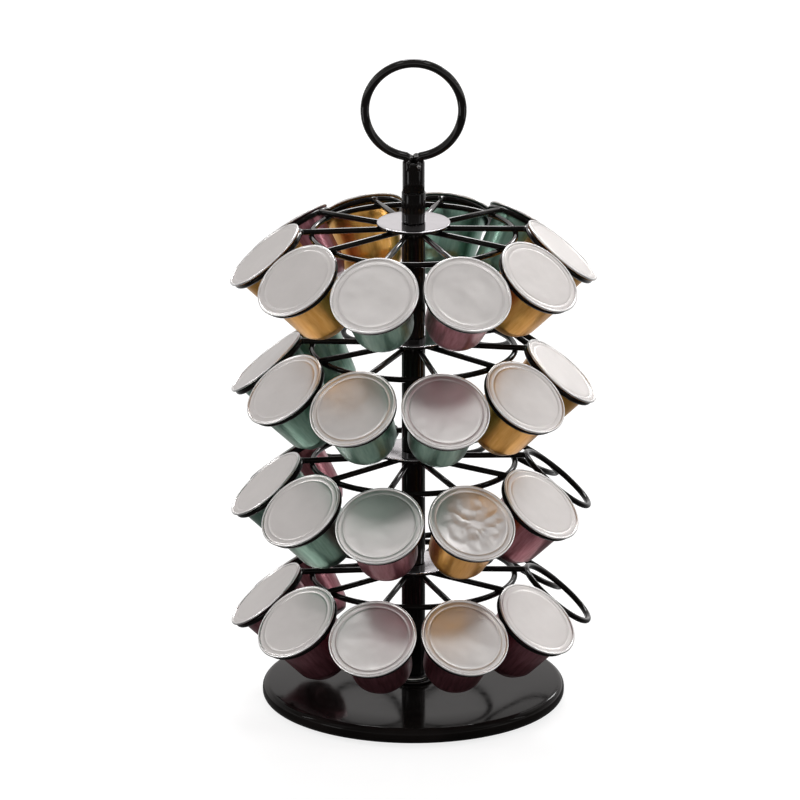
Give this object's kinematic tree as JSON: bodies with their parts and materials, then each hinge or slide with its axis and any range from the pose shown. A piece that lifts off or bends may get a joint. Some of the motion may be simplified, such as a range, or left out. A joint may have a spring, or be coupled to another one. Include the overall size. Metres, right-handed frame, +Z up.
{
  "type": "coffee capsule carousel",
  "caption": "Rotating wire carousel that holds coffee capsules in tilted rings on stacked tiers, with a round base and a ring handle.",
  "frame": {"origin": "middle of the footprint on the surface that the feet stand on, on the carousel's axis", "axes": "+Z up along the carousel's axis, -Y towards the front"},
  "size_m": [0.1506, 0.1471, 0.2747],
  "materials": {
    "black_paint": "gloss",
    "rubber": "matte",
    "zinc": "satin",
    "bright_plate": "gloss",
    "nylon": "matte",
    "capsule_gold": "satin",
    "capsule_green": "satin",
    "capsule_maroon": "satin"
  },
  "bodies": {
    "base": {"base_plate": "black_paint", "foot_1": "rubber", "foot_2": "rubber", "foot_3": "rubber", "foot_4": "rubber", "spindle_rod": "zinc", "base_nut": "zinc", "flange_nut": "black_paint", "thrust_washer": "nylon", "handle_stem": "black_paint", "ring_handle": "black_paint"},
    "carousel": {"foot_collar": "black_paint", "post_tube_1": "black_paint", "post_tube_2": "black_paint", "post_tube_3": "black_paint", "post_tube_4": "black_paint", "hub_plate_1": "bright_plate", "hub_plate_2": "bright_plate", "hub_plate_3": "bright_plate", "hub_plate_4": "bright_plate", "wire_tier_1": "black_paint", "wire_tier_2": "black_paint", "wire_tier_3": "black_paint", "wire_tier_4": "black_paint", "top_sleeve": "black_paint"},
    "capsule_1_01": {"capsule_1_01": "capsule_maroon"},
    "capsule_1_02": {"capsule_1_02": "capsule_maroon"},
    "capsule_1_07": {"capsule_1_07": "capsule_maroon"},
    "capsule_1_08": {"capsule_1_08": "capsule_maroon"},
    "capsule_1_09": {"capsule_1_09": "capsule_maroon"},
    "capsule_1_10": {"capsule_1_10": "capsule_maroon"},
    "capsule_2_01": {"capsule_2_01": "capsule_gold"},
    "capsule_2_02": {"capsule_2_02": "capsule_maroon"},
    "capsule_2_07": {"capsule_2_07": "capsule_maroon"},
    "capsule_2_08": {"capsule_2_08": "capsule_green"},
    "capsule_2_09": {"capsule_2_09": "capsule_green"},
    "capsule_2_10": {"capsule_2_10": "capsule_maroon"},
    "capsule_3_01": {"capsule_3_01": "capsule_green"},
    "capsule_3_02": {"capsule_3_02": "capsule_gold"},
    "capsule_3_03": {"capsule_3_03": "capsule_gold"},
    "capsule_3_07": {"capsule_3_07": "capsule_green"},
    "capsule_3_08": {"capsule_3_08": "capsule_green"},
    "capsule_3_09": {"capsule_3_09": "capsule_green"},
    "capsule_3_10": {"capsule_3_10": "capsule_green"},
    "capsule_4_01": {"capsule_4_01": "capsule_maroon"},
    "capsule_4_02": {"capsule_4_02": "capsule_gold"},
    "capsule_4_03": {"capsule_4_03": "capsule_gold"},
    "capsule_4_04": {"capsule_4_04": "capsule_green"},
    "capsule_4_05": {"capsule_4_05": "capsule_green"},
    "capsule_4_06": {"capsule_4_06": "capsule_gold"},
    "capsule_4_07": {"capsule_4_07": "capsule_maroon"},
    "capsule_4_08": {"capsule_4_08": "capsule_gold"},
    "capsule_4_09": {"capsule_4_09": "capsule_gold"},
    "capsule_4_10": {"capsule_4_10": "capsule_green"}
  },
  "joints": [
    {"name": "carousel_spin", "type": "hinge", "parent": "base", "child": "carousel", "pos_m": [0, 0, 0.0593], "axis": [0, 0, 1], "continuous": true},
    {"name": "capsule_1_01_lift", "type": "slide", "parent": "carousel", "child": "capsule_1_01", "axis": [0.2209, -0.6036, 0.766], "range_m": [0, 0.018]},
    {"name": "capsule_1_02_lift", "type": "slide", "parent": "carousel", "child": "capsule_1_02", "axis": [0.5335, -0.3585, 0.766], "range_m": [0, 0.018]},
    {"name": "capsule_1_07_lift", "type": "slide", "parent": "carousel", "child": "capsule_1_07", "axis": [-0.5335, 0.3585, 0.766], "range_m": [0, 0.018]},
    {"name": "capsule_1_08_lift", "type": "slide", "parent": "carousel", "child": "capsule_1_08", "axis": [-0.6424, -0.0236, 0.766], "range_m": [0, 0.018]},
    {"name": "capsule_1_09_lift", "type": "slide", "parent": "carousel", "child": "capsule_1_09", "axis": [-0.5058, -0.3966, 0.766], "range_m": [0, 0.018]},
    {"name": "capsule_1_10_lift", "type": "slide", "parent": "carousel", "child": "capsule_1_10", "axis": [-0.1761, -0.6182, 0.766], "range_m": [0, 0.018]},
    {"name": "capsule_2_01_lift", "type": "slide", "parent": "carousel", "child": "capsule_2_01", "axis": [0.2501, -0.5921, 0.766], "range_m": [0, 0.024]},
    {"name": "capsule_2_02_lift", "type": "slide", "parent": "carousel", "child": "capsule_2_02", "axis": [0.5504, -0.332, 0.766], "range_m": [0, 0.024]},
    {"name": "capsule_2_07_lift", "type": "slide", "parent": "carousel", "child": "capsule_2_07", "axis": [-0.5504, 0.332, 0.766], "range_m": [0, 0.024]},
    {"name": "capsule_2_08_lift", "type": "slide", "parent": "carousel", "child": "capsule_2_08", "axis": [-0.6404, -0.0549, 0.766], "range_m": [0, 0.024]},
    {"name": "capsule_2_09_lift", "type": "slide", "parent": "carousel", "child": "capsule_2_09", "axis": [-0.4859, -0.4209, 0.766], "range_m": [0, 0.024]},
    {"name": "capsule_2_10_lift", "type": "slide", "parent": "carousel", "child": "capsule_2_10", "axis": [-0.1457, -0.6261, 0.766], "range_m": [0, 0.024]},
    {"name": "capsule_3_01_lift", "type": "slide", "parent": "carousel", "child": "capsule_3_01", "axis": [0.1358, -0.6283, 0.766], "range_m": [0, 0.024]},
    {"name": "capsule_3_02_lift", "type": "slide", "parent": "carousel", "child": "capsule_3_02", "axis": [0.4792, -0.4284, 0.766], "range_m": [0, 0.024]},
    {"name": "capsule_3_03_lift", "type": "slide", "parent": "carousel", "child": "capsule_3_03", "axis": [0.6395, -0.065, 0.766], "range_m": [0, 0.024]},
    {"name": "capsule_3_07_lift", "type": "slide", "parent": "carousel", "child": "capsule_3_07", "axis": [-0.4792, 0.4284, 0.766], "range_m": [0, 0.024]},
    {"name": "capsule_3_08_lift", "type": "slide", "parent": "carousel", "child": "capsule_3_08", "axis": [-0.6395, 0.065, 0.766], "range_m": [0, 0.024]},
    {"name": "capsule_3_09_lift", "type": "slide", "parent": "carousel", "child": "capsule_3_09", "axis": [-0.5555, -0.3233, 0.766], "range_m": [0, 0.024]},
    {"name": "capsule_3_10_lift", "type": "slide", "parent": "carousel", "child": "capsule_3_10", "axis": [-0.2594, -0.5881, 0.766], "range_m": [0, 0.024]},
    {"name": "capsule_4_01_lift", "type": "slide", "parent": "carousel", "child": "capsule_4_01", "axis": [0.2293, -0.6005, 0.766], "range_m": [0, 0.031]},
    {"name": "capsule_4_02_lift", "type": "slide", "parent": "carousel", "child": "capsule_4_02", "axis": [0.5385, -0.351, 0.766], "range_m": [0, 0.031]},
    {"name": "capsule_4_03_lift", "type": "slide", "parent": "carousel", "child": "capsule_4_03", "axis": [0.642, 0.0325, 0.766], "range_m": [0, 0.031]},
    {"name": "capsule_4_04_lift", "type": "slide", "parent": "carousel", "child": "capsule_4_04", "axis": [0.5002, 0.4036, 0.766], "range_m": [0, 0.031]},
    {"name": "capsule_4_05_lift", "type": "slide", "parent": "carousel", "child": "capsule_4_05", "axis": [0.1674, 0.6206, 0.766], "range_m": [0, 0.031]},
    {"name": "capsule_4_06_lift", "type": "slide", "parent": "carousel", "child": "capsule_4_06", "axis": [-0.2293, 0.6005, 0.766], "range_m": [0, 0.031]},
    {"name": "capsule_4_07_lift", "type": "slide", "parent": "carousel", "child": "capsule_4_07", "axis": [-0.5385, 0.351, 0.766], "range_m": [0, 0.031]},
    {"name": "capsule_4_08_lift", "type": "slide", "parent": "carousel", "child": "capsule_4_08", "axis": [-0.642, -0.0325, 0.766], "range_m": [0, 0.031]},
    {"name": "capsule_4_09_lift", "type": "slide", "parent": "carousel", "child": "capsule_4_09", "axis": [-0.5002, -0.4036, 0.766], "range_m": [0, 0.031]},
    {"name": "capsule_4_10_lift", "type": "slide", "parent": "carousel", "child": "capsule_4_10", "axis": [-0.1674, -0.6206, 0.766], "range_m": [0, 0.031]}
  ]
}
